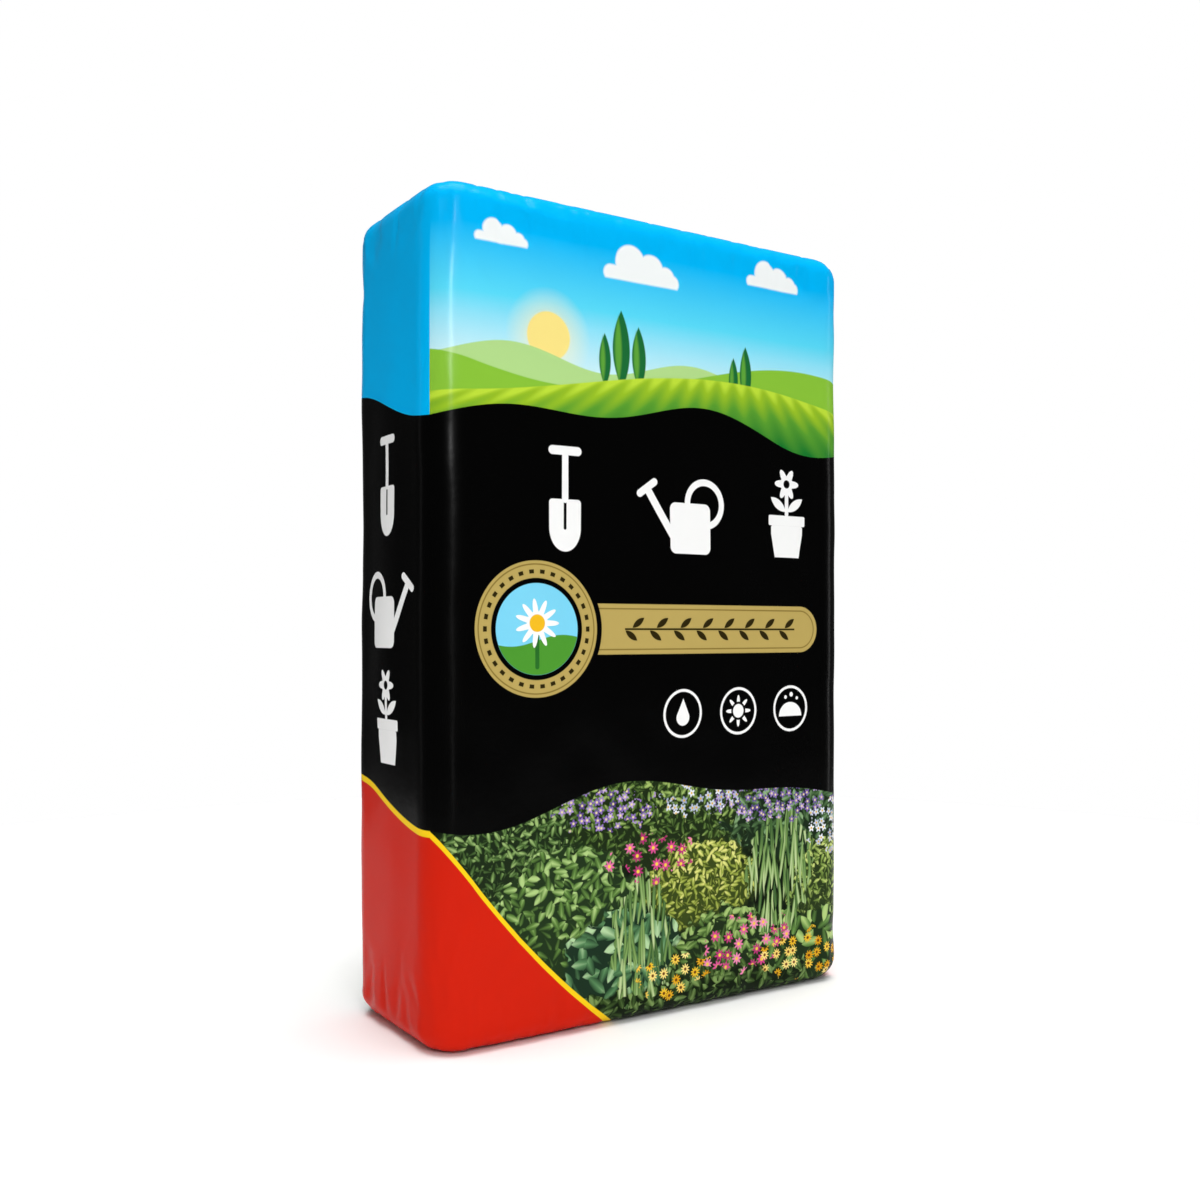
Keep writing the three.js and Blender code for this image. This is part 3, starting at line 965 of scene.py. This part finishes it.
class MESH_OT_film_bag(bpy.types.Operator):
    """Model the filled bag of printed film, with its folded ends and its seal fin"""

    bl_idname = "mesh.film_bag"
    bl_label = "Film Bag"

    def execute(self, context):
        film = Film(context.scene.bag_form)
        mesh = rolled_block(film)
        mesh.normal_update()
        cut_folds(mesh, film)
        mesh.normal_update()
        for face in mesh.faces:
            face.material_index = panel_of(face)
        press_film(mesh, film)
        body_faces = set(mesh.faces)
        add_fin(mesh, film)
        for face in mesh.faces:
            face.smooth = True
            if face not in body_faces:
                face.material_index = END
        data = bpy.data.meshes.new("bag_film")
        mesh.to_mesh(data)
        mesh.free()
        for material in film_materials(film, context.scene.print_inks):
            data.materials.append(material)
        piece = bpy.data.objects.new("bag_film", data)
        context.scene.collection.objects.link(piece)
        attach(piece, "root")
        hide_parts(BAG_NODE)
        return {"FINISHED"}


def add_light(scene, name, kind, place, target, power, **settings):
    """Adds a light at a place, facing a target, and gives it back."""
    data = bpy.data.lights.new(name, kind)
    data.energy = power
    for setting, value in settings.items():
        setattr(data, setting, value)
    light = bpy.data.objects.new(name, data)
    light.location = place
    light.rotation_euler = (Vector(target) - Vector(place)).to_track_quat("-Z", "Y").to_euler()
    scene.collection.objects.link(light)
    return light


def around(azimuth, distance, height):
    """A place round the bag: azimuth 0 is in front of it."""
    turn = math.radians(azimuth)
    return Vector((math.sin(turn) * distance, -math.cos(turn) * distance, height))


# Area lights: azimuth, distance and height, width and length, power, and whether they show only as gloss.
AREA_LIGHTS = (
    ("key", (-23, 1.7, 1.3), (0.6, 0.9), 12.5, False),
    ("edge_strip", (-34, 1.6, 0.4), (0.07, 1.1), 2.6, False),
    # Bright strips, for the upright edges and the film's creases.
    ("front_gloss", (-34, 1.6, 0.86), (0.09, 0.24), 26.0, True),
    ("back_gloss", (146, 1.6, 0.66), (0.09, 0.64), 56.0, True),
    # Light along the panels, which shows the film's creases.
    ("right_strip", (72, 1.6, 0.5), (0.12, 1.2), 4.0, False),
    ("left_strip", (-125, 1.6, 0.5), (0.12, 1.2), 0.8, False),
    ("back_fill", (165, 2.4, 0.7), (1.0, 1.6), 5.0, False),
)


class SCENE_OT_bag_studio(bpy.types.Operator):
    """Set up the floor, the soft lights and the camera"""

    bl_idname = "scene.bag_studio"
    bl_label = "Studio"

    def execute(self, context):
        scene = context.scene
        look = scene.studio_look
        self.add_floor(scene, look)
        self.add_lights(scene)
        self.add_camera(scene, look)
        scene.view_settings.view_transform = "Standard"
        return {"FINISHED"}

    def add_floor(self, scene, look):
        mesh = bmesh.new()
        bmesh.ops.create_circle(mesh, cap_ends=True, segments=96, radius=1.2)
        data = bpy.data.meshes.new("floor")
        mesh.to_mesh(data)
        mesh.free()
        floor = bpy.data.objects.new("floor", data)
        paint = bpy.data.materials.new("matt_studio_floor")
        paint.use_nodes = True
        shader = paint.node_tree.nodes["Principled BSDF"]
        shader.inputs["Base Color"].default_value = (*look.floor, 1)
        shader.inputs["Roughness"].default_value = 0.9
        shader.inputs["Specular IOR Level"].default_value = 0.0
        data.materials.append(paint)
        scene.collection.objects.link(floor)

    def add_lights(self, scene):
        middle = Vector((0, 0, 0.29))
        add_light(scene, "overhead", "SUN", (0.1, -0.2, 3), (0, 0, 0), 3.0, angle=math.radians(45))
        for name, place, size, power, gloss_only in AREA_LIGHTS:
            panel = {"shape": "RECTANGLE", "size": size[0], "size_y": size[1]}
            light = add_light(scene, name, "AREA", around(*place), middle, power, **panel)
            light.visible_diffuse = not gloss_only
        world = bpy.data.worlds.new("studio_world")
        world.use_nodes = True
        tree = world.node_tree
        tree.nodes.clear()
        seen = add_node(tree, "ShaderNodeLightPath").outputs["Is Camera Ray"]
        strength = add_node(tree, "ShaderNodeMapRange", seen, named={"To Min": 0.1, "To Max": 1.0})
        sky = add_node(tree, "ShaderNodeBackground", (1, 1, 1, 1), strength)
        add_node(tree, "ShaderNodeOutputWorld", sky)
        scene.world = world

    def add_camera(self, scene, look):
        data = bpy.data.cameras.new("camera")
        data.sensor_width = 36
        data.lens = look.lens
        data.shift_y = look.rise
        data.clip_start = 0.01
        camera = bpy.data.objects.new("camera", data)
        right = Vector((math.cos(look.azimuth), math.sin(look.azimuth), 0))
        back = Vector((math.sin(look.azimuth), -math.cos(look.azimuth), 0))
        camera.location = back * look.distance + right * look.aside + Vector((0, 0, look.height))
        camera.rotation_euler = (math.pi / 2, 0, look.azimuth)
        scene.collection.objects.link(camera)
        scene.camera = camera


class VIEW3D_PT_topsoil_bag(bpy.types.Panel):
    """Lists the bag's sizes and inks, the studio's settings and the operators that use them"""

    bl_idname = "VIEW3D_PT_topsoil_bag"
    bl_label = "Topsoil Bag"
    bl_space_type = "VIEW_3D"
    bl_region_type = "UI"
    bl_category = "Topsoil Bag"

    def draw(self, context):
        for group in (context.scene.bag_form, context.scene.print_inks, context.scene.studio_look):
            box = self.layout.box()
            for name in group.__annotations__:
                box.prop(group, name)
        self.layout.operator(MESH_OT_film_bag.bl_idname)
        self.layout.operator(SCENE_OT_bag_studio.bl_idname)


CLASSES = (BagForm, PrintInks, StudioLook, MESH_OT_film_bag, SCENE_OT_bag_studio, VIEW3D_PT_topsoil_bag)


def register():
    for cls in CLASSES:
        bpy.utils.register_class(cls)
    bpy.types.Scene.bag_form = bpy.props.PointerProperty(type=BagForm)
    bpy.types.Scene.print_inks = bpy.props.PointerProperty(type=PrintInks)
    bpy.types.Scene.studio_look = bpy.props.PointerProperty(type=StudioLook)


def unregister():
    del bpy.types.Scene.studio_look
    del bpy.types.Scene.print_inks
    del bpy.types.Scene.bag_form
    for cls in reversed(CLASSES):
        bpy.utils.unregister_class(cls)


def main():
    register()
    bpy.ops.mesh.film_bag()
    bpy.ops.scene.bag_studio()


if __name__ == "__main__":
    main()
